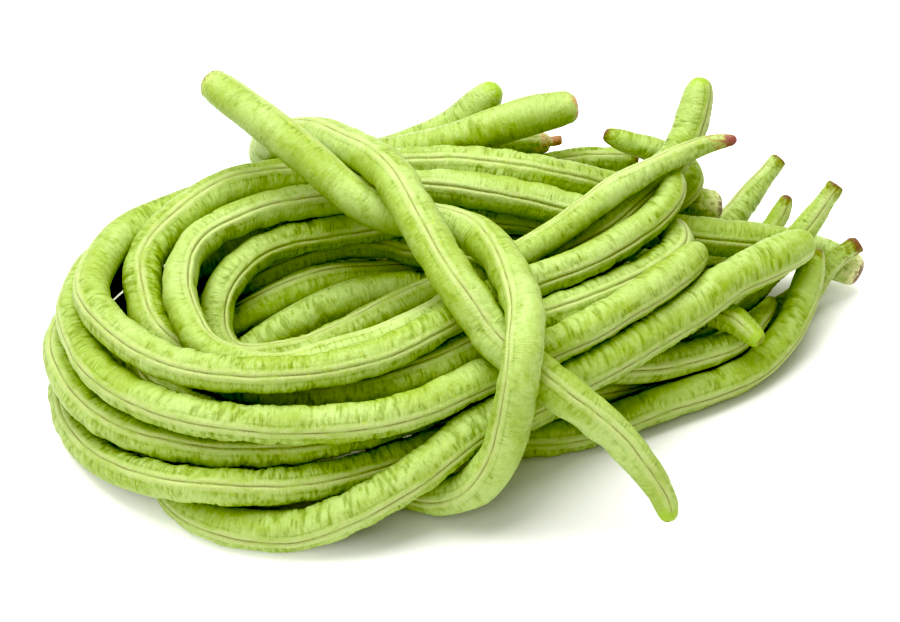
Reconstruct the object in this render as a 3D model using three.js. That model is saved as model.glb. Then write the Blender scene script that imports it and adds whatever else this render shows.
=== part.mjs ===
// A bunch of yardlong beans: eleven long pods laid side by side and folded once, so that each one
// makes a U with both its ends on the right, and a twelfth pod tied round them with a half knot.
// Millimetres, +Z up. The bunch lies on z = 0 and the origin is under the middle of its box.
import * as THREE from 'three';
import { mergeVertices } from 'three/addons/utils/BufferGeometryUtils.js';

// Driving dimensions
const POD_GAP = 0.5; // clear space left between two pods that touch
const FLAT_DEPTH = 0.4; // how much a pod's underside flattens where it lies

// How finely a pod is drawn
const POD_SIDES = 10;
const UPRIGHT_PULL = 0.4; // share of its twist that a ring sheds at each step where the pod lies level
const LONGEST_STEP = 10; // distance between two rings where the pod is straight
const SHORTEST_STEP = 3.5; // and where it bends hard
const SHARPEST_TURN = THREE.MathUtils.degToRad(12); // turn from one ring to the next
const STATION_STEP = 0.5; // how finely the place of a ring is chosen
const BEAD_STEP = 3; // distance between two beads of a pod while the bunch settles
const LENGTH_DIVISIONS = 600; // how finely a curve's length is measured
const WELD_DISTANCE = 0.0001; // corners nearer than this are one

// The settling of the bunch
const SETTLE_PASSES = 420;
const NEIGHBOUR_REFRESH = 20; // passes between two searches for neighbours
const NEIGHBOUR_REACH = 7; // extra distance at which a bead counts as a neighbour
const BEND_SHARE = 0.8; // how much of a bead's shift is shared along its pod
const BEND_REACH = 2; // how many beads to each side share it
const HOME_PULL = 0.01; // how strongly a bead returns to the route
const FIRM_PASSES = 40; // last passes, which only part the pods
const SELF_REACH = 36; // beads of one pod closer than this along it don't push each other

// The two ends of a pod, from the very end inwards: [distance from the end, share of the radius]
const CUT_END = [[0, 0], [0.3, 0.4], [1.1, 0.66], [3, 0.85], [7, 0.95], [14, 1]];
const STEM_END = [[0, 0], [0.2, 0.42], [0.9, 0.6], [3.5, 0.74], [9, 0.9], [18, 1]];
const STUB_END = [[0, 0], [0.2, 0.3], [3.6, 0.34], [4.6, 0.6], [8, 0.78], [14, 0.92], [24, 1]];
const NECK_END = [[0, 0], [0.2, 0.42], [1.2, 0.52], [6, 0.58], [15, 0.72], [28, 0.92], [40, 1]];
const BLUNT_TIP = [[0, 0], [0.4, 0.34], [1.6, 0.52], [6, 0.72], [16, 0.88], [34, 1]];
const ROUND_END = [[0, 0], [0.5, 0.36], [1.8, 0.62], [4.5, 0.84], [10, 0.97], [22, 1]];
const TAPERED_END = [[0, 0], [0.4, 0.24], [1.8, 0.42], [6, 0.56], [16, 0.7], [34, 0.88], [52, 1]];

// Every pod: its name, how it begins and ends, how thick it is, and the way it takes, stem end
// first. The folded ones run from the back leg round the bend at the left to the front leg.
const PODS = [
  {
    name: 'tie_pod', girth: [5.6, 6], start: CUT_END, end: TAPERED_END, grip: 4,
    colour: 0xa9c95a,
    route: [
      [-71, 49, 67], [-43, 26, 60], [-22, 10, 55], [-6, 3, 53], [7, -4, 53], [17, -29, 55],
      [19, -56, 49], [14, -63, 27], [5, -65, 12], [-11, -58, 6], [-24, -20, 6], [-34, 20, 6],
      [-43, 50, 6], [-50, 67, 8], [-55, 72, 17], [-54, 64, 30], [-47, 52, 41], [-37, 41, 50],
      [-16, 6, 61], [1, -28, 58], [14, -43, 50], [27, -54, 43], [47, -62, 28], [59, -69, 13],
      [61, -73, 7],
    ],
  },
  {
    name: 'pod_top_outer', girth: [5.9, 4.5], start: CUT_END, end: ROUND_END, grip: 1.5,
    colour: 0x9cc248,
    route: [
      [38, 64, 46], [21, 62, 43], [-3, 57, 37], [-17, 54, 35], [-45, 50, 32], [-60, 45, 30],
      [-80, 33, 30], [-92, 22, 31], [-100, 6, 33], [-102, -10, 36], [-97, -25, 39],
      [-79, -44, 41], [-52, -51, 42], [-19, -44, 42], [11, -24, 44], [37, -8, 44], [56, 16, 41],
      [62, 26, 43], [63, 34, 46],
    ],
  },
  {
    name: 'pod_second_outer', girth: [5.6, 5.2], start: ROUND_END, end: ROUND_END, grip: 1.5,
    colour: 0xa3c552,
    route: [
      [15, 69, 47], [10, 67, 41], [3, 66, 34], [-11, 64, 28], [-26, 60, 26], [-42, 57, 26],
      [-58, 52, 22], [-80, 42, 19], [-97, 26, 21], [-106, 8, 24], [-107, -12, 27], [-96, -39, 30],
      [-74, -56, 32], [-44, -61, 32], [-14, -58, 34], [12, -47, 40], [42, -27, 40], [66, -2, 35],
      [72, 8, 34],
    ],
  },
  {
    name: 'pod_third_outer', girth: [4.6, 5.2], start: STUB_END, end: TAPERED_END, grip: 1,
    colour: 0x93b93f,
    route: [
      [34, 65, 30], [21, 66, 27], [-3, 64, 22], [-13, 61, 18], [-30, 59, 17], [-48, 57, 16],
      [-68, 50, 9], [-87, 36, 9], [-100, 17, 12], [-111, -9, 16], [-107, -30, 18], [-96, -46, 19],
      [-76, -59, 22], [-58, -62, 22], [-28, -59, 22], [-14, -53, 23], [2, -45, 24], [19, -36, 21],
      [42, -26, 18], [56, -19, 14], [73, -9, 11], [85, 1, 9], [94, 15, 9],
    ],
  },
  {
    name: 'pod_fourth_outer', girth: [5, 5.2], start: BLUNT_TIP, end: NECK_END, grip: 1,
    colour: 0x9bbf4c,
    route: [
      [57, 63, 26], [33, 62, 24], [9, 54, 19], [-15, 49, 18], [-40, 48, 17], [-60, 43, 12],
      [-76, 37, 6], [-92, 26, 6], [-107, 6, 6], [-112, -12, 6], [-108, -32, 6], [-97, -49, 9],
      [-84, -60, 14], [-70, -67, 18], [-53, -67, 18], [-27, -61, 19], [-3, -51, 21],
      [14, -42, 19], [28, -32, 16], [43, -23, 11], [57, -14, 7], [69, -8, 6], [83, 0, 6],
      [108, 23, 9], [113, 27, 15], [122, 31, 20],
    ],
  },
  {
    name: 'pod_back_loop', girth: [5.7, 5.5], start: CUT_END, end: ROUND_END, grip: 1.5,
    colour: 0x9dc24a,
    route: [
      [82, 47, 20], [71, 48, 20], [57, 49, 22], [42, 43, 31], [27, 39, 39], [9, 41, 41],
      [-9, 43, 40], [-24, 43, 39], [-38, 42, 39], [-53, 40, 38], [-66, 35, 38], [-79, 25, 36],
      [-87, 16, 34], [-90, 7, 32], [-88, -6, 30], [-84, -17, 29], [-75, -25, 27], [-52, -40, 26],
      [-19, -45, 31], [3, -38, 37], [25, -28, 41], [47, -11, 37], [61, 5, 32], [67, 16, 31],
      [64, 26, 31],
    ],
  },
  {
    name: 'pod_pale_loop', girth: [5.6, 4.2], start: CUT_END, end: TAPERED_END, grip: 1.5,
    colour: 0xb4d06d,
    route: [
      [123, 30, 7], [115, 34, 9], [102, 34, 14], [80, 28, 24], [50, 24, 33], [26, 26, 38], [0, 28, 40],
      [-29, 29, 38], [-55, 24, 37], [-73, 11, 36], [-77, -11, 35], [-68, -34, 34], [-50, -44, 36],
      [-28, -39, 39], [-3, -26, 41], [8, -14, 43], [31, 5, 45], [55, 24, 49], [76, 37, 51],
      [84, 38, 52],
    ],
  },
  {
    name: 'pod_inner_loop', girth: [4.6, 5.2], start: BLUNT_TIP, end: TAPERED_END, grip: 1,
    colour: 0x9ec44e,
    route: [
      [46, 59, 38], [54, 57, 36], [62, 57, 33], [69, 54, 31], [72, 47, 30], [69, 41, 29],
      [61, 37, 28], [44, 31, 29], [29, 27, 31], [9, 27, 33], [-15, 25, 31], [-29, 24, 30],
      [-55, 16, 29], [-67, 0, 24], [-64, -17, 17], [-47, -17, 17], [-22, -4, 21], [-14, 0, 23],
      [-3, 7, 23], [15, 12, 22], [29, 17, 20], [41, 21, 18], [50, 28, 16], [58, 35, 16],
    ],
  },
  {
    name: 'pod_ground_loop', girth: [5, 6.2], start: NECK_END, end: ROUND_END, grip: 1.5,
    colour: 0xa6c956,
    route: [
      [101, 73, 17], [94, 66, 12], [87, 58, 7], [78, 47, 5], [66, 39, 5], [51, 33, 6],
      [21, 20, 10], [-9, 18, 15], [-30, 9, 17], [-57, -5, 10], [-74, -25, 6], [-81, -46, 6],
      [-71, -68, 6], [-44, -75, 6], [-17, -70, 17], [4, -57, 25], [19, -43, 31], [42, -31, 32],
      [72, -4, 30], [99, 16, 30], [106, 19, 31],
    ],
  },
  {
    name: 'pod_hidden_loop_a', girth: [5, 5], start: TAPERED_END, end: STEM_END, grip: 0.7,
    colour: 0x98bd46,
    route: [
      [102, 57, 15], [99, 53, 9], [93, 46, 5], [83, 36, 5], [69, 29, 6], [54, 24, 7],
      [26, 26, 14], [12, 30, 20], [-3, 32, 22], [-30, 39, 20], [-50, 36, 19], [-68, 25, 19],
      [-81, 11, 19], [-88, -5, 17], [-86, -22, 16], [-74, -36, 17], [-45, -39, 17], [-3, -37, 16],
      [8, -39, 10], [21, -38, 6], [43, -30, 7], [55, -25, 8], [82, -9, 7], [97, 7, 12],
      [103, 20, 22], [104, 25, 26],
    ],
  },
  {
    name: 'pod_hidden_loop_b', girth: [5.2, 5], start: ROUND_END, end: BLUNT_TIP, grip: 0.7,
    colour: 0x8fb53d,
    route: [
      [76, 57, 59], [74, 51, 53], [72, 44, 48], [67, 37, 42], [58, 28, 39], [47, 20, 36],
      [35, 12, 33], [23, 6, 31], [9, 10, 27], [-3, 18, 23], [-15, 26, 20], [-30, 29, 19],
      [-57, 19, 16], [-78, 12, 8], [-96, -5, 6], [-97, -21, 9], [-88, -38, 15], [-70, -48, 17],
      [-45, -50, 16], [-22, -42, 17], [0, -32, 15], [20, -22, 14], [42, -12, 15], [61, -4, 21],
      [73, -2, 21], [81, -6, 20], [89, -13, 17],
    ],
  },
  {
    name: 'pod_hidden_loop_c', girth: [5, 5], start: NECK_END, end: TAPERED_END, grip: 0.7,
    colour: 0x96bb44,
    route: [
      [115, 32, 40], [104, 23, 27], [79, 10, 9], [44, 6, 6], [12, 27, 8], [-15, 26, 17],
      [-30, 19, 17], [-44, 13, 17], [-64, 5, 11], [-77, -7, 9], [-78, -19, 14], [-66, -28, 17],
      [-45, -28, 17], [-20, -18, 17], [-6, -14, 16], [26, -8, 10], [61, 6, 8], [99, 30, 9],
    ],
  },
];

// A smooth curve through the route, as evenly spaced beads.
function beadsAlong(route) {
  const corners = route.map(([x, y, z]) => new THREE.Vector3(x, y, z));
  const curve = new THREE.CatmullRomCurve3(corners, false, 'centripetal');
  curve.arcLengthDivisions = LENGTH_DIVISIONS;
  const count = Math.round(curve.getLength() / BEAD_STEP);
  return curve.getSpacedPoints(count);
}

// The share of the full radius at a distance from one end.
function endShare(shape, distance) {
  for (let i = 1; i < shape.length; i += 1) {
    const [near, nearShare] = shape[i - 1];
    const [far, farShare] = shape[i];
    if (distance <= far) {
      return THREE.MathUtils.lerp(nearShare, farShare, (distance - near) / (far - near));
    }
  }
  return 1;
}

function radiusAt(pod, distance, length) {
  const [first, last] = pod.girth;
  const full = THREE.MathUtils.lerp(first, last, distance / length);
  return full * Math.min(endShare(pod.start, distance), endShare(pod.end, length - distance));
}

function layOut(pod) {
  const home = beadsAlong(pod.route);
  const length = (home.length - 1) * BEAD_STEP;
  const radii = home.map((bead, i) => radiusAt(pod, i * BEAD_STEP, length));
  return { ...pod, home, radii, beads: home.map((bead) => bead.clone()) };
}

// Pairs of beads, of two pods or far apart on one, that are near enough to touch soon.
function findNeighbours(pods) {
  const pairs = [];
  const ownReach = SELF_REACH / BEAD_STEP;
  pods.forEach((first, a) => {
    pods.slice(a).forEach((second) => {
      const same = first === second;
      first.beads.forEach((p, i) => {
        for (let j = same ? i + ownReach : 0; j < second.beads.length; j += 1) {
          const reach = first.radii[i] + second.radii[j] + NEIGHBOUR_REACH;
          if (p.distanceToSquared(second.beads[j]) < reach * reach) {
            pairs.push([first, i, second, j]);
          }
        }
      });
    });
  });
  return pairs;
}

// Touching pods push each other apart, the firmly held one giving way least.
function partPods(pairs) {
  const push = new THREE.Vector3();
  for (const [first, i, second, j] of pairs) {
    push.subVectors(first.beads[i], second.beads[j]);
    const distance = push.length();
    const wanted = first.radii[i] + second.radii[j] + POD_GAP;
    if (distance < wanted) {
      const total = first.grip + second.grip;
      push.setLength(wanted - distance);
      first.beads[i].addScaledVector(push, second.grip / total);
      second.beads[j].addScaledVector(push, -first.grip / total);
    }
  }
}

// A pod is springy: what moves one bead moves the stretch around it, and all of it pulls home.
function springBack(pod) {
  const shifts = pod.beads.map((bead, i) => bead.clone().sub(pod.home[i]));
  shifts.forEach((shift, i) => {
    const around = new THREE.Vector3();
    for (let step = 1; step <= BEND_REACH; step += 1) {
      around.add(shifts[Math.max(i - step, 0)]);
      around.add(shifts[Math.min(i + step, shifts.length - 1)]);
    }
    const shared = shift.clone().lerp(around.divideScalar(2 * BEND_REACH), BEND_SHARE);
    pod.beads[i].copy(pod.home[i]).addScaledVector(shared, 1 - HOME_PULL * pod.grip);
  });
}

function restOnGround(pod) {
  pod.beads.forEach((bead, i) => {
    bead.z = Math.max(bead.z, pod.radii[i] - FLAT_DEPTH);
  });
}

function settle(pods) {
  let pairs = [];
  for (let pass = 0; pass < SETTLE_PASSES; pass += 1) {
    if (pass % NEIGHBOUR_REFRESH === 0) {
      pairs = findNeighbours(pods);
    }
    partPods(pairs);
    if (pass < SETTLE_PASSES - FIRM_PASSES) {
      pods.forEach(springBack);
    }
    pods.forEach(restOnGround);
  }
}

// Distances along a pod at which it has a ring of corners: those that shape its two ends, and
// between them one at every LONGEST_STEP, or sooner where the pod has turned by SHARPEST_TURN.
function ringStations(pod, curve, length) {
  const startStations = pod.start.map(([distance]) => distance);
  const endStations = pod.end.map(([distance]) => length - distance).reverse();
  const stations = [];
  for (const next of [...startStations, ...endStations]) {
    let last = stations.at(-1) ?? next;
    for (let here = last + SHORTEST_STEP; here < next - SHORTEST_STEP; here += STATION_STEP) {
      const turned = curve.getTangentAt(here / length).angleTo(curve.getTangentAt(last / length));
      if (here - last >= LONGEST_STEP || (here - last >= SHORTEST_STEP && turned >= SHARPEST_TURN)) {
        stations.push(here);
        last = here;
      }
    }
    stations.push(next);
  }
  return stations;
}

// Directions across the pod that turn with it, and come back upright where it lies level.
function crossFrames(curve, stations, length) {
  const up = new THREE.Vector3(0, 0, 1);
  let side = up;
  return stations.map((station) => {
    const along = curve.getTangentAt(THREE.MathUtils.clamp(station / length, 0, 1));
    side = side.clone().lerp(up, UPRIGHT_PULL).projectOnPlane(along).normalize();
    return { side, other: new THREE.Vector3().crossVectors(along, side) };
  });
}

// A straight turned pod, bent along its settled line and pressed flat where it meets z = 0.
function podGeometry(pod) {
  const curve = new THREE.CatmullRomCurve3(pod.beads, false, 'centripetal');
  curve.arcLengthDivisions = LENGTH_DIVISIONS;
  const length = curve.getLength();
  const stations = ringStations(pod, curve, length);
  const profile = stations.map((station) => new THREE.Vector2(radiusAt(pod, station, length), station));
  const geometry = new THREE.LatheGeometry(profile, POD_SIDES);
  geometry.deleteAttribute('normal');
  geometry.deleteAttribute('uv');
  const frames = crossFrames(curve, stations, length);
  const centres = stations.map((station) => curve.getPointAt(THREE.MathUtils.clamp(station / length, 0, 1)));
  const corner = new THREE.Vector3();
  const place = geometry.getAttribute('position');
  for (let k = 0; k < place.count; k += 1) {
    const ring = k % stations.length;
    const { side, other } = frames[ring];
    corner.copy(centres[ring]).addScaledVector(side, place.getX(k)).addScaledVector(other, -place.getZ(k));
    place.setXYZ(k, corner.x, corner.y, Math.max(corner.z, 0));
  }
  return mergeVertices(geometry, WELD_DISTANCE);
}

const bunch = new THREE.Group();
const pods = PODS.map(layOut);
settle(pods);
for (const pod of pods) {
  const material = new THREE.MeshStandardMaterial({ color: pod.colour, roughness: 0.5, metalness: 0 });
  const mesh = new THREE.Mesh(podGeometry(pod), material);
  mesh.name = pod.name;
  bunch.add(mesh);
}
const box = new THREE.Box3().setFromObject(bunch);
const middle = box.getCenter(new THREE.Vector3());
bunch.position.set(-middle.x, -middle.y, 0);

export default bunch;
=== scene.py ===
import math

import bpy
import numpy as np
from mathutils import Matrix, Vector


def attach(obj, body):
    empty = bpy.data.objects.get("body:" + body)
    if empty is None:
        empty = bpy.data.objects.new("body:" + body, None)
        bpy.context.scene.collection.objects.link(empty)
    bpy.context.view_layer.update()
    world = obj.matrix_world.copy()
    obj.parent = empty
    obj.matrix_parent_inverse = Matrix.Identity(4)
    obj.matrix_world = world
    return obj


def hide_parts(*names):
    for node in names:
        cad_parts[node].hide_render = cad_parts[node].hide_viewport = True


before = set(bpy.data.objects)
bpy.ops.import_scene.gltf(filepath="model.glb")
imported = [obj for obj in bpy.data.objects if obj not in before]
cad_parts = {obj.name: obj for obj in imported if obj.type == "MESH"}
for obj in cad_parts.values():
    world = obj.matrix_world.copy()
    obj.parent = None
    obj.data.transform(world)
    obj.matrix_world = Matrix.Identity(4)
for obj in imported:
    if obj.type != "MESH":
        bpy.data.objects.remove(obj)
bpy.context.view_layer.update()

MM = 0.001

# ---- The pods -------------------------------------------------------------------------------

BROWN = (0.165, 0.088, 0.050)
TAN = (0.46, 0.27, 0.12)
PINK_TAN = (0.50, 0.24, 0.15)
RED_BROWN = (0.19, 0.080, 0.055)
PURPLE = (0.26, 0.085, 0.085)
ROSY = (0.36, 0.33, 0.11)
OLIVE = (0.20, 0.23, 0.03)
CREAM = (0.64, 0.66, 0.33)
RIM_GREEN = (0.44, 0.53, 0.17)
LEAF = (0.31, 0.46, 0.06)


def pod_end(tip, behind, tip_reach, behind_reach, lumps):
    """An end of a pod: the colour of its very tip and the one behind it, how far each of them
    reaches in millimetres, and how lumpy the end is."""
    return {
        "tip": tip, "behind": behind, "lumps": lumps,
        "tip_reach": tip_reach, "behind_reach": behind_reach,
    }


SCAR = pod_end(TAN, RIM_GREEN, 0.9, 4.0, 0.3)
RIM = pod_end(BROWN, RIM_GREEN, 1.2, 3.4, 0.35)
BROWN_SCAR = pod_end(BROWN, CREAM, 0.7, 6.5, 0.4)
STALK = pod_end(PINK_TAN, CREAM, 3.2, 6.0, 0.5)
NECK = pod_end(BROWN, OLIVE, 0.55, 4.0, 0.35)
DARK_NECK = pod_end(RED_BROWN, OLIVE, 1.5, 7.0, 0.35)
ROUND = pod_end(LEAF, LEAF, 0.5, 3.0, 0.1)
POINT = pod_end(BROWN, OLIVE, 0.7, 3.5, 0.1)
TENDER = pod_end(OLIVE, LEAF, 0.6, 6.0, 0.1)
PURPLE_POINT = pod_end(PURPLE, ROSY, 2.8, 8.0, 0.1)

# Every pod, by the name of its solid: its back and front end, where its main seam faces (shares
# of the pod's length, and there degrees from upright towards the outside of the bend), how
# yellow-pale it is (0 to 1) and how wrinkled (0 to 1).
TIE_SEAM = ((0, 119), (0.1, 119), (0.25, 45), (0.68, 180), (1, 180))
PODS = {
    "tie_pod": (RIM, TENDER, TIE_SEAM, 0.75, 0.45),
    "pod_top_outer": (SCAR, ROUND, ((0, 27), (1, 77)), 0.55, 0.8),
    "pod_second_outer": (ROUND, ROUND, ((0, 38), (1, 98)), 0.6, 0.85),
    "pod_third_outer": (STALK, POINT, ((0, -15), (1, 85)), 0.25, 0.9),
    "pod_fourth_outer": (POINT, DARK_NECK, ((0, -20), (1, 100)), 0.4, 1.0),
    "pod_back_loop": (BROWN_SCAR, ROUND, ((0, -25), (1, 35)), 0.5, 0.75),
    "pod_pale_loop": (PURPLE_POINT, BROWN_SCAR, ((0, -15), (1, -55)), 0.95, 0.5),
    "pod_inner_loop": (POINT, POINT, ((0, -90), (1, -30)), 0.45, 0.7),
    "pod_ground_loop": (NECK, ROUND, ((0, 35), (1, 115)), 0.65, 0.9),
    "pod_hidden_loop_a": (POINT, POINT, ((0, -30), (1, 90)), 0.35, 0.6),
    "pod_hidden_loop_b": (ROUND, TENDER, ((0, -90), (1, 50)), 0.3, 0.6),
    "pod_hidden_loop_c": (NECK, POINT, ((0, -70), (1, 90)), 0.35, 0.6),
}

# How finely a pod's skin is drawn: its rings, in millimetres, and the corners of a ring
RING_STEP = 0.33
MOST_RINGS = 1480
CLOSE_RINGS = (0, 0.04, 0.1, 0.17, 0.25, 0.36, 0.5, 0.68, 0.9, 1.15, 1.5, 1.9)  # at each end
END_LENGTH = 2.3  # where the even rings begin
RING_CORNERS = 64
SEAM_CROWDING = 0.62  # how much closer the corners stand at the seams
LINE_SMOOTHING = 2.2  # how far the line of the solid is smoothed
SMOOTHING_STEP = 0.5
TIP_RADIUS = 0.05  # a ring smaller than this closes to a point

# The map for the bake: the skin in rows, and a small disc for the fan of faces at each end
BAKE_ROWS = 4
ROW_HEIGHT = 0.94  # share of a row's room that the row fills
ROW_START = 0.01
ROW_LENGTH = 0.97
ROW_LIFT = 0.005
CAP_PLACES = ((0.05, 0.985), (0.10, 0.985))
CAP_RADIUS = 0.01

# Relief of the skin, in millimetres
FULLNESS = 0.12  # how far the skin may stand out of the solid's corners
FULLNESS_SHARE = 0.02  # and what each millimetre of radius adds
OVAL = 0.03  # how much narrower a pod is from seam to seam, as a share of its radius
SEAM_RIDGE = 0.13
SEAM_HALF_WIDTH = 1.0  # from the middle of a seam to the top of its ridge
RIDGE_WIDTH = 0.6
SEAM_GROOVE = 0.30
GROOVE_WIDTH = 0.36
SHOULDER_DEPTH = 0.09  # the hollow outside a ridge
SHOULDER_PLACE = 2.6
SHOULDER_WIDTH = 0.7
PLAIN_SEAM = 0.45  # how strong the seam is that lies across from the main one
RIDGE_CHANGE = 0.35  # how much one ridge of a seam is higher than the other
SEED_SPACING = 11.5
SEED_DRIFT = 3.3  # how unevenly the seeds are spaced
SEED_SWELL = 0.55
WRINKLE_HEIGHT = 0.40
WRINKLE_TOP = 0.3  # wrinkles are flat on top
CLEAR_OF_SEAM = 1.6  # over this width the wrinkles grow, away from a seam
LUMP_HEIGHT = 0.4
ENDS_FADE = 16  # the relief fades out towards an end
LUMPY_END = 7
FULL_RADIUS = 4.5  # a pod thinner than this has fainter seams
SQUEEZE = 1.6  # how much more a pod wrinkles on the inside of a bend

# Noise over the skin: the length of its cells in millimetres, and how many go round the pod
LONG_WAVE = (16, 1)
SHORT_WAVE = (5, 1)
RIDGE_CELLS = (40, 1)
DRIFT_CELLS = (30, 1)
FINE_WRINKLES = (0.62, 13)
COARSE_WRINKLES = (1.15, 10)
WRINKLE_PATCHES = (11, 5)
LUMP_CELLS = (13, 4)
END_KNOBS = (1.3, 5)


def even_noise(rng, rows, columns):
    """A grid of random numbers, from -1 to 1, which sample_grid reads so that its last column
    meets its first.
    """
    return rng.uniform(-1, 1, (rows + 3, columns))


def sample_grid(grid, down, across):
    """Smooth values between the numbers of a grid that closes on itself sideways."""
    columns = grid.shape[1]
    row = np.clip(np.floor(down).astype(int), 0, grid.shape[0] - 2)
    column = np.floor(across).astype(int)
    u, v = down - row, across - column
    u, v = u * u * (3 - 2 * u), v * v * (3 - 2 * v)
    left, right = column % columns, (column + 1) % columns
    near = grid[row, left] * (1 - v) + grid[row, right] * v
    far = grid[row + 1, left] * (1 - v) + grid[row + 1, right] * v
    return near * (1 - u) + far * u


def skin_noise(rng, along, around, length, cells):
    """Noise over a pod's skin, with cells of a length along it and a number of cells round it."""
    size_along, cells_around = cells
    grid = even_noise(rng, int(length / size_along) + 1, cells_around)
    return sample_grid(grid, along / size_along, around / (2 * math.pi) * cells_around)


def solid_rings(node):
    """The rings of corners of a pod's solid, from its back end to its front end."""
    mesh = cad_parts[node].data
    corners = np.array([v.co for v in mesh.vertices]) / MM
    kinds, same = np.unique(np.round(corners, 3), axis=0, return_inverse=True)
    same = same.ravel()
    touching = [set() for _ in kinds]
    for polygon in mesh.polygons:
        ids = [same[i] for i in polygon.vertices]
        for a in ids:
            touching[a].update(b for b in ids if b != a)
    most = max(len(t) for t in touching)
    tips = [i for i, t in enumerate(touching) if len(t) == most]
    tips.sort(key=lambda i: -kinds[i][1])
    rings, seen, layer = [], set(), {tips[0]}
    while layer:
        rings.append(kinds[sorted(layer)])
        seen |= layer
        layer = set().union(*(touching[i] for i in layer)) - seen
    return rings


def knot_slopes(values, places, limited):
    """The slope of a line at each of its knots, limited where it must not swing past them."""
    if not limited:
        return np.gradient(values, places, axis=0)
    steps = np.diff(values) / np.diff(places)
    both = steps[:-1] * steps[1:]
    middle = np.where(both > 0, 2 * both / np.where(both > 0, steps[:-1] + steps[1:], 1), 0)
    return np.concatenate([[steps[0]], middle, [steps[-1]]])


def line_through(places, values, wanted, limited=False):
    """Values between the knots of a line, by cubic pieces."""
    slopes = knot_slopes(values, places, limited)
    piece = np.clip(np.searchsorted(places, wanted, side="right") - 1, 0, len(places) - 2)
    width = places[piece + 1] - places[piece]
    t = (wanted - places[piece]) / width
    if values.ndim > 1:
        t, width = t[:, None], width[:, None]
    start = (1 + 2 * t) * (1 - t) ** 2 * values[piece] + t * (1 - t) ** 2 * width * slopes[piece]
    end = t * t * (3 - 2 * t) * values[piece + 1] + t * t * (t - 1) * width * slopes[piece + 1]
    return start + end


def ring_places(length):
    """Distances along a pod at which its skin has a ring: even, and close together at its ends."""
    close = np.array(CLOSE_RINGS)
    count = min(int(length / RING_STEP), MOST_RINGS)
    middle = np.linspace(END_LENGTH, length - END_LENGTH, count)
    return np.concatenate([close, middle, (length - close)[::-1]])


def smooth_along(points, places, reach):
    """The line with its small kinks taken out. Its two ends stay where they are."""
    even = np.arange(0, places[-1] + SMOOTHING_STEP, SMOOTHING_STEP)
    line = np.stack([np.interp(even, places, points[:, i]) for i in range(3)], axis=1)
    half = int(3 * reach / SMOOTHING_STEP)
    weights = np.exp(-0.5 * (np.arange(-half, half + 1) * SMOOTHING_STEP / reach) ** 2)
    weights /= weights.sum()
    before = 2 * line[0] - line[half:0:-1]
    after = 2 * line[-1] - line[-2:-half - 2:-1]
    padded = np.concatenate([before, line, after])
    soft = np.stack([np.convolve(padded[:, i], weights, mode="valid") for i in range(3)], axis=1)
    return np.stack([np.interp(places, even, soft[:, i]) for i in range(3)], axis=1)


def unit(vectors):
    return vectors / np.linalg.norm(vectors, axis=-1, keepdims=True)


def seam_directions(line, places, seam_table):
    """For each place, the direction of the main seam and the one a quarter turn on."""
    along = unit(np.gradient(line, places, axis=0))
    middle = int(np.searchsorted(places, places[-1] / 2))
    up = np.array([0.0, 0.0, 1.0])
    side = np.zeros_like(line)
    side[middle] = unit(up - along[middle] * (up @ along[middle]))
    for step, stop in ((1, len(line)), (-1, -1)):
        for i in range(middle + step, stop, step):
            before = side[i - step]
            side[i] = unit(before - along[i] * (before @ along[i]))
    other = np.cross(side, along)
    outward = -1 if other[middle][0] > 0 else 1
    shares, degrees = zip(*seam_table)
    angle = np.radians(np.interp(places / places[-1], shares, degrees)) * outward
    cos, sin = np.cos(angle)[:, None], np.sin(angle)[:, None]
    seam = side * cos + other * sin
    return along, seam, np.cross(seam, along)


def bump_shape(distance, width):
    """A smooth hump over a distance, as high as 1 in its middle."""
    return np.exp(-(distance / width) ** 2)


def seam_shape(rng, s, a, r, length, fade):
    """The relief of the main seam and of the plainer one across from it, how far each corner is
    from its seam, and how far the seams wander."""
    level = a * 0
    wave = skin_noise(rng, s, level, length, LONG_WAVE) * 0.35
    wave = wave + skin_noise(rng, s, level, length, SHORT_WAVE) * 0.12
    across = r * np.sin(a) - wave
    on_main = (np.cos(a) > 0) * 1.0
    strength = (PLAIN_SEAM + (1 - PLAIN_SEAM) * on_main) * fade * np.clip(r / FULL_RADIUS, 0, 1)
    away = np.abs(across)
    ridges = bump_shape(away - SEAM_HALF_WIDTH, RIDGE_WIDTH)
    groove = bump_shape(across, GROOVE_WIDTH)
    shoulder = bump_shape(away - SHOULDER_PLACE, SHOULDER_WIDTH)
    lopsided = 1 + RIDGE_CHANGE * np.sign(across) * skin_noise(rng, s, level, length, RIDGE_CELLS)
    relief = SEAM_RIDGE * ridges * lopsided - SEAM_GROOVE * groove - SHOULDER_DEPTH * shoulder
    return relief * strength, away, wave


def seed_shape(rng, s, a, length, fade):
    """Seeds swell the two sides between the seams."""
    drift = skin_noise(rng, s, a * 0, length, DRIFT_CELLS) * SEED_DRIFT
    beat = 0.5 + 0.5 * np.cos(2 * math.pi * s / SEED_SPACING + drift)
    return SEED_SWELL * (beat - 0.5) * np.sin(a) ** 2 * fade


def crease_pattern(rng, s, a, length, wrinkled, squeezed, away, fade):
    """Wrinkles run round the pod, broken, and are deepest on the inside of a bend."""
    fine = skin_noise(rng, s + 0.4 * np.sin(3 * a), a, length, FINE_WRINKLES)
    coarse = skin_noise(rng, s + 0.7 * np.cos(2 * a), a, length, COARSE_WRINKLES)
    patches = np.clip(0.5 + skin_noise(rng, s, a, length, WRINKLE_PATCHES) * 0.9, 0, 1)
    depth = wrinkled * (0.75 + 0.7 * squeezed) * (0.4 + 0.9 * patches)
    flank = np.clip(away / CLEAR_OF_SEAM - 0.6, 0, 1)
    return (0.75 * fine + 0.65 * coarse) * np.clip(depth, 0.08, 1.3) * flank * fade


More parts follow.
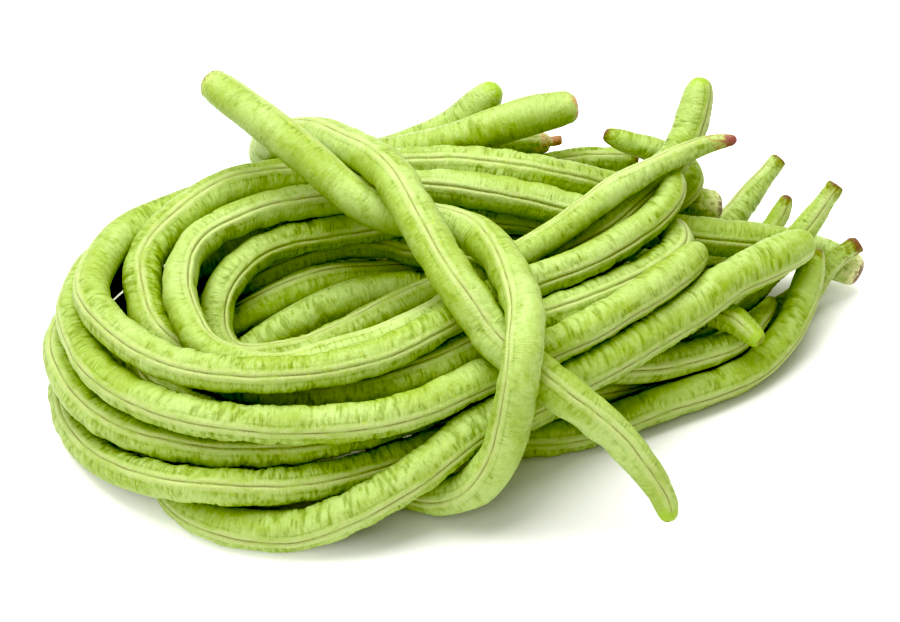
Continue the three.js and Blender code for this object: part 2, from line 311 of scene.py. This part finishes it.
def end_shape(rng, s, a, r, length, back_end, front_end):
    """Knobs on the two ends of a pod."""
    knobs = skin_noise(rng, s, a, length, END_KNOBS)
    at_back = np.clip(1 - s / LUMPY_END, 0, 1) * back_end["lumps"]
    at_front = np.clip(1 - (length - s) / LUMPY_END, 0, 1) * front_end["lumps"]
    return (at_back + at_front) * knobs * np.clip(r / 1.2, 0, 1)


def pod_skin(node, seed, seam_table, wrinkled, back_end, front_end):
    """The corners of a pod's skin and what its material reads: where each corner is on the
    straightened pod, and how deep it lies in a wrinkle, which the material uses for painted shade
    in the wrinkle valleys and painted highlight on their tops."""
    rng = np.random.default_rng(seed)
    rings = solid_rings(node)
    centres = np.array([ring.mean(0) for ring in rings])
    radii = np.array([np.linalg.norm(ring - ring.mean(0), axis=1).max() for ring in rings])
    knots = np.concatenate([[0], np.cumsum(np.linalg.norm(np.diff(centres, axis=0), axis=1))])
    length = knots[-1]
    places = ring_places(length)
    line = smooth_along(line_through(knots, centres, places), places, LINE_SMOOTHING)
    radius = line_through(knots, radii, places, limited=True)
    along, seam, quarter = seam_directions(line, places, seam_table)

    # s runs along the pod, a round it from the main seam, and r is the radius of the ring
    even = np.linspace(0, 2 * math.pi, RING_CORNERS, endpoint=False)
    theta = even - SEAM_CROWDING / 2 * np.sin(2 * even)
    s = np.repeat(places[:, None], RING_CORNERS, axis=1)
    a = np.repeat(theta[None, :], len(places), axis=0)
    r = np.repeat(radius[:, None], RING_CORNERS, axis=1)
    out = seam[:, None, :] * np.cos(a)[..., None] + quarter[:, None, :] * np.sin(a)[..., None]

    fade = np.clip(np.minimum(s, length - s) / ENDS_FADE, 0, 1)
    bend = np.gradient(along, places, axis=0)
    squeezed = np.clip((out * bend[:, None, :]).sum(-1) * r * SQUEEZE, -0.6, 1)

    seams, away, wave = seam_shape(rng, s, a, r, length, fade)
    seeds = seed_shape(rng, s, a, length, fade)
    creases = crease_pattern(rng, s, a, length, wrinkled, squeezed, away, fade)
    wrinkles = WRINKLE_HEIGHT * np.minimum(creases, WRINKLE_TOP)
    lumps = LUMP_HEIGHT * skin_noise(rng, s, a, length, LUMP_CELLS) * fade
    ends = end_shape(rng, s, a, r, length, back_end, front_end)
    oval = -OVAL * r * np.cos(2 * a)
    relief = seams + seeds + wrinkles + lumps + ends + oval
    reach = r + np.minimum(relief, FULLNESS + FULLNESS_SHARE * r)
    reach = np.where(r < TIP_RADIUS, 0, reach)
    skin = line[:, None, :] + out * reach[..., None]
    skin[..., 2] = np.maximum(skin[..., 2], 0)
    straight = np.stack([s, r * np.cos(a), r * np.sin(a) - wave * fade], axis=-1)
    return skin, straight, creases, length


def pod_mesh(name, skin, straight, creases):
    """A closed mesh over the skin, with what the material reads and a map for the bake."""
    rings, corners = skin.shape[:2]
    body = rings - 2

    def per_point(values):
        """The values of the rings between the two tips, then those of the tips."""
        rows = values[1:-1].reshape(-1, *values.shape[2:])
        return np.concatenate([rows, values[0, :1], values[-1, :1]])

    ring, corner = np.meshgrid(np.arange(body - 1), np.arange(corners), indexing="ij")
    a, b = ring * corners + corner, ring * corners + (corner + 1) % corners
    quads = np.stack([a, b, b + corners, a + corners], axis=-1).reshape(-1, 4)
    first_tip, last_tip = body * corners, body * corners + 1
    c = np.arange(corners)
    d = (c + 1) % corners
    last_ring = (body - 1) * corners
    start_cap = np.stack([np.full(corners, first_tip), d, c], axis=-1)
    end_cap = np.stack([np.full(corners, last_tip), last_ring + c, last_ring + d], axis=-1)
    faces = [face for group in (quads, start_cap, end_cap) for face in group.tolist()]

    mesh = bpy.data.meshes.new(name)
    mesh.from_pydata([tuple(point * MM) for point in per_point(skin)], [], faces)
    place = mesh.attributes.new("straight", "FLOAT_VECTOR", "POINT")
    place.data.foreach_set("vector", per_point(straight).astype(np.float32).ravel())
    crease = mesh.attributes.new("crease", "FLOAT", "POINT")
    crease.data.foreach_set("value", per_point(creases).astype(np.float32))
    fold_map(mesh, body, corners)
    mesh.polygons.foreach_set("use_smooth", [True] * len(mesh.polygons))
    mesh.validate()
    return mesh


def fold_map(mesh, body, corners):
    """The map for the bake: the skin laid flat, cut into rows one above another."""
    per_row = (body - 1) / BAKE_ROWS
    ring = np.arange(body - 1)
    row = np.minimum((ring / per_row).astype(int), BAKE_ROWS - 1)
    begin = np.ceil(row * per_row)
    near = ROW_START + ROW_LENGTH * (ring - begin) / (per_row + 1)
    far = ROW_START + ROW_LENGTH * (ring + 1 - begin) / (per_row + 1)
    height = ROW_HEIGHT / BAKE_ROWS
    base = ROW_LIFT + row / BAKE_ROWS
    c = np.arange(corners)
    low = base[:, None] + height * c[None, :] / corners
    high = base[:, None] + height * (c[None, :] + 1) / corners
    near, far = np.broadcast_to(near[:, None], low.shape), np.broadcast_to(far[:, None], low.shape)
    quads = np.stack([near, low, near, high, far, high, far, low], axis=-1).reshape(-1, 2)

    turn = 2 * math.pi / corners
    caps = []
    for x, y in CAP_PLACES:
        for k in range(corners):
            caps.append((x, y))
            for angle in (k * turn, (k + 1) * turn):
                caps.append((x + CAP_RADIUS * math.cos(angle), y + CAP_RADIUS * math.sin(angle)))
    bake = mesh.uv_layers.new(name="OFBake")
    bake.data.foreach_set("uv", np.concatenate([quads, np.array(caps)]).astype(np.float32).ravel())


# ---- The material ---------------------------------------------------------------------------

class Nodes:
    """Short ways of making the nodes of one material."""

    def __init__(self, material):
        material.use_nodes = True
        self.tree = material.node_tree
        self.tree.nodes.clear()

    def add(self, kind, **settings):
        node = self.tree.nodes.new(kind)
        for key, value in settings.items():
            setattr(node, key, value)
        return node

    def feed(self, socket, value):
        if isinstance(value, bpy.types.NodeSocket):
            self.tree.links.new(value, socket)
        elif isinstance(value, tuple) and len(value) == 3 and socket.type == "RGBA":
            socket.default_value = (*value, 1)
        else:
            socket.default_value = value

    def sum(self, operation, first, second=0.0, clamp=False):
        node = self.add("ShaderNodeMath", operation=operation, use_clamp=clamp)
        self.feed(node.inputs[0], first)
        self.feed(node.inputs[1], second)
        return node.outputs[0]

    def ramp(self, value, low, high, to_low=0.0, to_high=1.0):
        node = self.add("ShaderNodeMapRange", interpolation_type="SMOOTHSTEP")
        for socket, given in zip(node.inputs, (value, low, high, to_low, to_high)):
            self.feed(socket, given)
        return node.outputs[0]

    def times(self, first, *others):
        for other in others:
            first = self.sum("MULTIPLY", first, other)
        return first

    def pattern(self, place, seed, name):
        """One of the noises in PATTERNS, over the straightened pod."""
        along, round_it, shift, detail, roughness, distortion = PATTERNS[name]
        shift = seed + shift
        spread = self.add("ShaderNodeMapping")
        self.feed(spread.inputs["Vector"], place)
        spread.inputs["Scale"].default_value = (along, round_it, round_it)
        spread.inputs["Location"].default_value = (shift, shift * 0.37, shift * 0.71)
        noise = self.add("ShaderNodeTexNoise")
        self.feed(noise.inputs["Vector"], spread.outputs[0])
        noise.inputs["Scale"].default_value = 1
        noise.inputs["Detail"].default_value = detail
        noise.inputs["Roughness"].default_value = roughness
        noise.inputs["Distortion"].default_value = distortion
        return noise.outputs["Fac"]

    def mix(self, share, first, second):
        node = self.add("ShaderNodeMix", data_type="RGBA")
        self.feed(node.inputs["Factor"], share)
        colours = [i for i in node.inputs if i.type == "RGBA"]
        self.feed(colours[0], first)
        self.feed(colours[1], second)
        return [o for o in node.outputs if o.type == "RGBA"][0]

    def finish(self, shader):
        output = self.add("ShaderNodeOutputMaterial")
        self.feed(output.inputs["Surface"], shader.outputs[0])


def blend_colour(first, second, share):
    return tuple(p * (1 - share) + q * share for p, q in zip(first, second))


GREEN_DEEP = (0.120, 0.190, 0.004)
GREEN_MID = (0.242, 0.350, 0.024)
GREEN_PALE = (0.430, 0.555, 0.205)
GREEN_BLOTCH = blend_colour(GREEN_DEEP, GREEN_MID, 0.75)
SEAM_PALE = (0.465, 0.535, 0.235)
SEAM_DARK = (0.135, 0.120, 0.032)
YELLOW_FLECK = (0.46, 0.52, 0.06)

# Noises on the straightened pod: cells for each millimetre along it and round it, a shift of its
# own, detail, roughness and distortion.
PATTERNS = {
    "broad": (0.035, 0.09, 0, 2, 0.5, 0),
    "blotch": (0.16, 0.22, 3, 3, 0.6, 0),
    "mottle": (0.75, 0.45, 7, 4, 0.65, 0),
    "strokes": (1.7, 0.42, 11, 3, 0.55, 0.2),
    "fine": (3.4, 0.8, 13, 2, 0.5, 0.2),
    "zone": (0.10, 0.28, 17, 1, 0.5, 0),
    "ragged": (0.22, 0.5, 19, 3, 0.5, 0),
    "flecks": (0.9, 0.9, 23, 1, 0.5, 0),
    "uneven": (0.5, 0.75, 29, 4, 0.6, 0),
    "gloss": (0.7, 0.7, 31, 3, 0.5, 0),
    "pits": (1.6, 1.6, 37, 4, 0.6, 0),
    "dents": (1.15, 0.24, 43, 1.5, 0.4, 0),
}

# Coats of colour, one over another: what a coat follows, where it begins there and where it is
# full, where on the pod it lies, its strength, what wrinkles add to that, and its colour.
SKIN_COATS = (
    ("blotch", 0.52, 0.72, "anywhere", 0.5, 0, GREEN_BLOTCH),
    ("mottle", 0.50, 0.70, "anywhere", 0.42, 0, GREEN_MID),
    ("mottle", 0.46, 0.30, "anywhere", 0.35, 0, GREEN_PALE),
    ("strokes", 0.53, 0.68, "wrinkle_zone", 0.10, 0.22, GREEN_DEEP),
    ("strokes", 0.47, 0.33, "wrinkle_zone", 0.15, 0.25, GREEN_PALE),
    ("fine", 0.55, 0.72, "off_seam", 0.14, 0, GREEN_DEEP),
    # painted shade: deep green laid into the valleys of the skin's wrinkles
    ("crease", -0.06, -0.45, "anywhere", 0.46, 0, GREEN_DEEP),
    # painted highlight: pale green laid on the raised tops of the same wrinkles
    ("crease", 0.06, 0.40, "anywhere", 0.40, 0, GREEN_PALE),
    # painted shade: deep green laid into the same dents that the bump presses into the skin
    ("dents", 0.53, 0.66, "dent_row", 0.10, 0.30, GREEN_DEEP),
    ("dents", 0.48, 0.36, "dent_row", 0.15, 0.35, GREEN_PALE),
)
FLECK_COAT = ("flecks", 0.70, 0.78, "anywhere", 0.6, 0, YELLOW_FLECK)

# The seams' colours, in millimetres from the middle of a seam
BAND_WIDTH = (0.5, 2.4)  # the pale band, and what its ragged edge adds
RIB_FOOT = 2.3
THREAD_EDGES = (0.50, 0.18)  # where the dark thread begins and where it is full

PATTERN_SHIFT = 41.0  # how far apart the patterns of two pods begin

BUMP_STRENGTH = 0.8
BUMP_DISTANCE = 0.4 * MM


def lay_coat(n, colour, coat, values, masks, wrinkled):
    """The colour with one more coat over it."""
    follows, begins, full, lies, strength, wrinkles_add, paint = coat
    share = n.ramp(values[follows], begins, full)
    if lies != "anywhere":
        share = n.times(share, masks[lies])
    return n.mix(n.times(share, strength + wrinkles_add * wrinkled), colour, paint)


def lay_seams(n, colour, values, aside, near_seam):
    """The seams: a soft paler band with darker feet, and a thin broken dark line in it."""
    narrowest, widens = BAND_WIDTH
    band_edge = n.sum("ADD", n.times(values["ragged"], widens), narrowest)
    band = n.ramp(n.sum("DIVIDE", aside, band_edge), 1.35, 0.45)
    band = n.times(band, n.ramp(values["ragged"], 0.30, 0.60, 0.2, 0.7), near_seam)
    colour = n.mix(band, colour, SEAM_PALE)
    foot = n.ramp(n.sum("ABSOLUTE", n.sum("SUBTRACT", aside, RIB_FOOT)), 0.45, 0.05)
    foot = n.times(foot, n.ramp(values["zone"], 0.38, 0.62, 0.0, 0.28), near_seam)
    colour = n.mix(foot, colour, GREEN_DEEP)
    thread = n.ramp(n.sum("ADD", aside, n.times(values["fine"], 0.25)), *THREAD_EDGES)
    thread = n.times(thread, n.ramp(values["ragged"], 0.32, 0.60, 0.12, 0.64), near_seam)
    return n.mix(thread, colour, SEAM_DARK)


def lay_ends(n, colour, values, along, length, back_end, front_end):
    """The colours of the two ends, with uneven edges."""
    uneven = n.ramp(values["uneven"], 0.28, 0.72, 0.25, 1.9)
    for end, distance in ((back_end, along), (front_end, n.sum("SUBTRACT", length, along))):
        far = n.sum("DIVIDE", distance, uneven)
        tip = end["tip_reach"]
        colour = n.mix(n.ramp(far, end["behind_reach"], tip * 1.4), colour, end["behind"])
        colour = n.mix(n.ramp(far, tip * 1.9, tip * 0.4), colour, end["tip"])
    return colour


def pod_material(name, length, pale, wrinkled, back_end, front_end, seed):
    material = bpy.data.materials.new(name)
    n = Nodes(material)
    place = n.add("ShaderNodeAttribute", attribute_name="straight").outputs["Vector"]
    values = {pattern: n.pattern(place, seed, pattern) for pattern in PATTERNS}
    # the wrinkle depth of the skin's relief, read for painted shade in wrinkle valleys and painted
    # highlight on wrinkle tops
    values["crease"] = n.add("ShaderNodeAttribute", attribute_name="crease").outputs["Fac"]
    parts = n.add("ShaderNodeSeparateXYZ")
    n.feed(parts.inputs[0], place)
    along, front, side = parts.outputs
    aside = n.sum("ABSOLUTE", side)
    near_seam = n.ramp(front, -1.0, 1.0, 0.55, 1.0)
    off_seam = n.ramp(aside, 1.2, 2.2)
    dent_row = n.times(n.ramp(aside, 1.3, 2.2), n.ramp(aside, 4.4, 3.2))
    masks = {
        "off_seam": off_seam,
        "wrinkle_zone": n.times(n.ramp(values["zone"], 0.34, 0.60), off_seam),
        "dent_row": n.times(dent_row, n.ramp(values["blotch"], 0.36, 0.58)),
    }

    mid = blend_colour(GREEN_MID, GREEN_PALE, 0.12 + 0.32 * pale)
    light = blend_colour(GREEN_MID, GREEN_PALE, 0.62 + 0.38 * pale)
    colour = n.mix(n.ramp(values["broad"], 0.34, 0.64), mid, light)
    for coat in SKIN_COATS:
        colour = lay_coat(n, colour, coat, values, masks, wrinkled)
    colour = lay_seams(n, colour, values, aside, near_seam)
    colour = lay_coat(n, colour, FLECK_COAT, values, masks, wrinkled)
    colour = lay_ends(n, colour, values, along, length, back_end, front_end)

    shader = n.add("ShaderNodeBsdfPrincipled")
    n.feed(shader.inputs["Base Color"], colour)
    n.feed(shader.inputs["Roughness"], n.ramp(values["gloss"], 0.3, 0.7, 0.36, 0.52))
    shader.inputs["IOR"].default_value = 1.42
    shader.inputs["Specular IOR Level"].default_value = 0.36

    relief = n.times(values["strokes"], 0.9 * wrinkled + 0.2)
    relief = n.sum("ADD", relief, n.times(values["fine"], 0.7))
    relief = n.sum("ADD", relief, n.times(values["pits"], 0.35))
    dent = n.times(n.ramp(values["dents"], 0.53, 0.66), masks["dent_row"], 0.5)
    relief = n.sum("SUBTRACT", relief, dent)
    bump = n.add("ShaderNodeBump")
    bump.inputs["Strength"].default_value = BUMP_STRENGTH
    bump.inputs["Distance"].default_value = BUMP_DISTANCE
    n.feed(bump.inputs["Height"], relief)
    n.feed(shader.inputs["Normal"], bump.outputs[0])
    n.finish(shader)
    return material


def make_pods():
    """Every pod as one piece, which rides on the bunch and stands for its solid."""
    for seed, (node, (back, front, seam, pale, wrinkled)) in enumerate(PODS.items(), start=1):
        skin, straight, creases, length = pod_skin(node, seed, seam, wrinkled, back, front)
        name = node.replace("pod", "bean")
        mesh = pod_mesh(name, skin, straight, creases)
        shift = seed * PATTERN_SHIFT
        material = pod_material(name + "_skin", length, pale, wrinkled, back, front, shift)
        mesh.materials.append(material)
        piece = bpy.data.objects.new(name, mesh)
        bpy.context.scene.collection.objects.link(piece)
        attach(piece, "root")
        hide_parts(node)


# ---- The setting ----------------------------------------------------------------------------

FLOOR_REACH = 3.0
FLOOR_HEIGHT = -0.3 * MM
FLOOR_WHITE = (0.88, 0.88, 0.88, 1)
GLOW_ELLIPSE = (0.118, 0.078)  # half sizes of the place under the bunch where the table doesn't glow, in metres
GLOW_STRENGTH = 0.40

# The lamps: name, place and size in metres, power in watts, colour
LAMPS = (
    ("main_light", (-0.14, 0.20, 1.00), (1.15, 0.90), 19.8, (1.0, 0.99, 0.96)),
    ("front_fill", (-0.4, -0.9, 0.9), (0.8, 0.6), 4.0, (1.0, 1.0, 1.0)),
)
LAMP_TARGET = (0, 0, 0.02)
WORLD_COLOUR = (1, 0.99, 0.93, 1)
WORLD_STRENGTH = 0.50

CAMERA_ELEVATION = 42
CAMERA_DISTANCE = 1.0
CAMERA_TARGET = (-3.35 * MM, 1.64 * MM, 20 * MM)
CAMERA_LENS = 138
SENSOR_WIDTH = 36

TONE_GAMMA = 0.92
BLACK_LEVEL = (0.040, 0.040, 0.062)  # shade is deepest in blue


def floor_material():
    """A white table that glows a little all round the bunch, and not under it: the glow is painted
    light that lifts the bunch's cast shadow on the table.
    """
    material = bpy.data.materials.new("floor_white")
    n = Nodes(material)
    place = n.add("ShaderNodeNewGeometry").outputs["Position"]
    span = n.add("ShaderNodeVectorMath", operation="MULTIPLY")
    n.feed(span.inputs[0], place)
    half_length, half_width = GLOW_ELLIPSE
    span.inputs[1].default_value = (1 / half_length, 1 / half_width, 0)
    away = n.add("ShaderNodeVectorMath", operation="LENGTH")
    n.feed(away.inputs[0], span.outputs[0])
    shader = n.add("ShaderNodeBsdfPrincipled")
    shader.inputs["Base Color"].default_value = FLOOR_WHITE
    shader.inputs["Roughness"].default_value = 0.6
    shader.inputs["Specular IOR Level"].default_value = 0.2
    shader.inputs["Emission Color"].default_value = (1, 1, 1, 1)
    # painted light: the table glows though it is no lamp, washing out the shadow around the bunch
    glow = n.ramp(away.outputs["Value"], 0.88, 1.18, 0.0, GLOW_STRENGTH)
    n.feed(shader.inputs["Emission Strength"], glow)
    n.finish(shader)
    return material


def make_floor():
    mesh = bpy.data.meshes.new("floor")
    corners = [
        (x * FLOOR_REACH, y * FLOOR_REACH, FLOOR_HEIGHT)
        for x, y in ((-1, -1), (1, -1), (1, 1), (-1, 1))
    ]
    mesh.from_pydata(corners, [], [(0, 1, 2, 3)])
    mesh.materials.append(floor_material())
    floor = bpy.data.objects.new("floor", mesh)
    bpy.context.scene.collection.objects.link(floor)


def point_at(thing, target):
    thing.rotation_euler = (Vector(target) - thing.location).to_track_quat("-Z", "Y").to_euler()


def make_lamp(name, place, size, power, colour):
    lamp = bpy.data.lights.new(name, "AREA")
    lamp.shape = "RECTANGLE"
    lamp.size, lamp.size_y = size
    lamp.energy = power
    lamp.color = colour
    holder = bpy.data.objects.new(name, lamp)
    holder.location = place
    point_at(holder, LAMP_TARGET)
    bpy.context.scene.collection.objects.link(holder)


def make_lights():
    world = bpy.data.worlds.new("studio")
    world.use_nodes = True
    background = world.node_tree.nodes["Background"]
    background.inputs["Color"].default_value = WORLD_COLOUR
    background.inputs["Strength"].default_value = WORLD_STRENGTH
    bpy.context.scene.world = world
    for lamp in LAMPS:
        make_lamp(*lamp)


def make_camera():
    """The view: from the front and above, a metre off the bunch."""
    tilt = math.radians(CAMERA_ELEVATION)
    target = Vector(CAMERA_TARGET)
    camera = bpy.data.cameras.new("camera")
    camera.lens = CAMERA_LENS
    camera.sensor_width = SENSOR_WIDTH
    camera.clip_start = 0.05
    holder = bpy.data.objects.new("camera", camera)
    holder.location = target + CAMERA_DISTANCE * Vector((0, -math.cos(tilt), math.sin(tilt)))
    point_at(holder, target)
    bpy.context.scene.collection.objects.link(holder)
    bpy.context.scene.camera = holder


def set_tone():
    """Deep shade: black starts a little above nothing, and for blue a little higher."""
    view = bpy.context.scene.view_settings
    view.view_transform = "Standard"
    view.gamma = TONE_GAMMA
    view.use_curve_mapping = True
    view.curve_mapping.black_level = BLACK_LEVEL
    view.curve_mapping.update()


make_camera()
make_pods()
make_floor()
make_lights()
set_tone()

bpy.context.view_layer.update()
